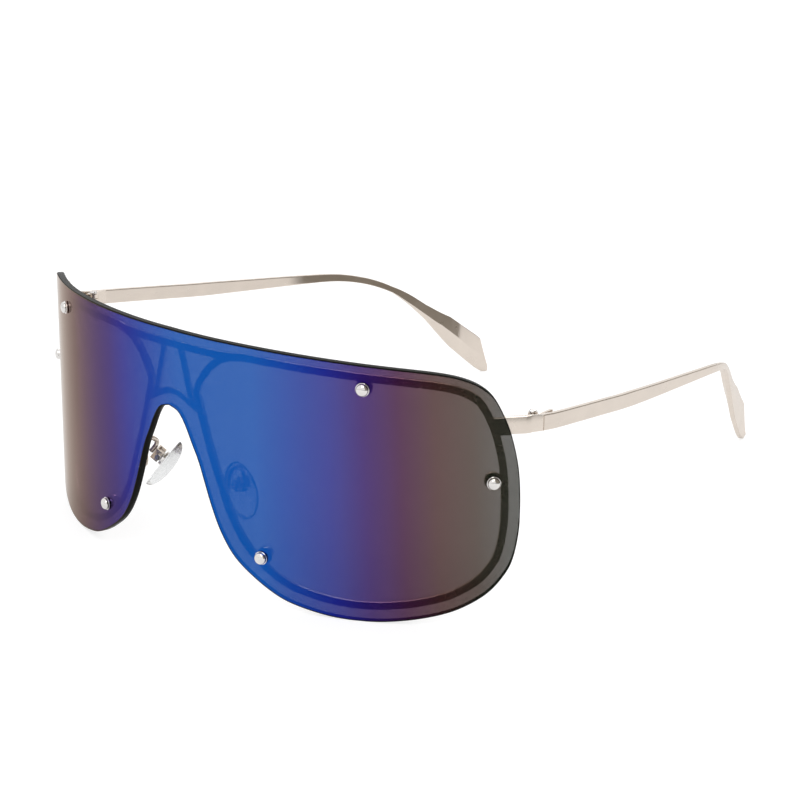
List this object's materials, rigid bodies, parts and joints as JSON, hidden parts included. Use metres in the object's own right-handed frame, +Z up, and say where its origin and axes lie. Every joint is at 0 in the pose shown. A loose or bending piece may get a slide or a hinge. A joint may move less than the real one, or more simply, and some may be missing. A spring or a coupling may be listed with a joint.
{
  "type": "shield sunglasses",
  "caption": "One-piece curved mirror lens screwed to a wire frame, with folding faceted metal temples and rocking clear nose pads.",
  "frame": {"origin": "middle of the footprint, on the surface that the glasses stand on", "axes": "+X towards the wearer's left, -Y the way the lens faces, +Z up"},
  "size_m": [0.1446, 0.1708, 0.0594],
  "materials": {
    "lens_mirror": "iridescent mirror coat, blue in the middle to violet and bronze grey at the ends",
    "frame_metal": "polished pale champagne silver",
    "temple_metal": "polished pale champagne silver",
    "hinge_metal": "tumbled silver",
    "screw_metal": "bright polished",
    "pad_core": "plain bright",
    "pad_silicone": "clear soft silicone"
  },
  "bodies": {
    "front": {"lens_shield": "lens_mirror", "front_frame": "frame_metal", "lens_screw_top_left": "screw_metal", "lens_washer_top_left": "screw_metal", "lens_nut_top_left": "screw_metal", "lens_screw_top_right": "screw_metal", "lens_washer_top_right": "screw_metal", "lens_nut_top_right": "screw_metal", "lens_screw_side_left": "screw_metal", "lens_washer_side_left": "screw_metal", "lens_nut_side_left": "screw_metal", "lens_screw_side_right": "screw_metal", "lens_washer_side_right": "screw_metal", "lens_nut_side_right": "screw_metal", "lens_screw_low_left": "screw_metal", "lens_washer_low_left": "screw_metal", "lens_nut_low_left": "screw_metal", "lens_screw_low_right": "screw_metal", "lens_washer_low_right": "screw_metal", "lens_nut_low_right": "screw_metal", "endpiece_left": "frame_metal", "hinge_front_leaf_left": "hinge_metal", "hinge_screw_left": "screw_metal", "pad_arm_left": "frame_metal", "pad_box_left": "hinge_metal", "pad_screw_left": "screw_metal", "endpiece_right": "frame_metal", "hinge_front_leaf_right": "hinge_metal", "hinge_screw_right": "screw_metal", "pad_arm_right": "frame_metal", "pad_box_right": "hinge_metal", "pad_screw_right": "screw_metal"},
    "temple_left": {"temple_left": "temple_metal", "hinge_temple_leaf_left": "hinge_metal"},
    "temple_right": {"temple_right": "temple_metal", "hinge_temple_leaf_right": "hinge_metal"},
    "pad_left": {"nose_pad_left": "pad_silicone", "pad_insert_left": "pad_core"},
    "pad_right": {"nose_pad_right": "pad_silicone", "pad_insert_right": "pad_core"}
  },
  "joints": [
    {"name": "left_temple_fold", "type": "hinge", "parent": "front", "child": "temple_left", "pos_m": [0.06906, -0.04475, 0.044], "axis": [0, 0, 1], "range_deg": [0, 82]},
    {"name": "right_temple_fold", "type": "hinge", "parent": "front", "child": "temple_right", "pos_m": [-0.06906, -0.04475, 0.044], "axis": [0, 0, -1], "range_deg": [0, 77]},
    {"name": "left_pad_rock", "type": "hinge", "parent": "front", "child": "pad_left", "pos_m": [0.0133, -0.07577, 0.0244], "axis": [0.4384, 0.8988, 0], "range_deg": [-10, 10]},
    {"name": "right_pad_rock", "type": "hinge", "parent": "front", "child": "pad_right", "pos_m": [-0.0133, -0.07577, 0.0244], "axis": [0.4384, -0.8988, 0], "range_deg": [-10, 10]}
  ]
}
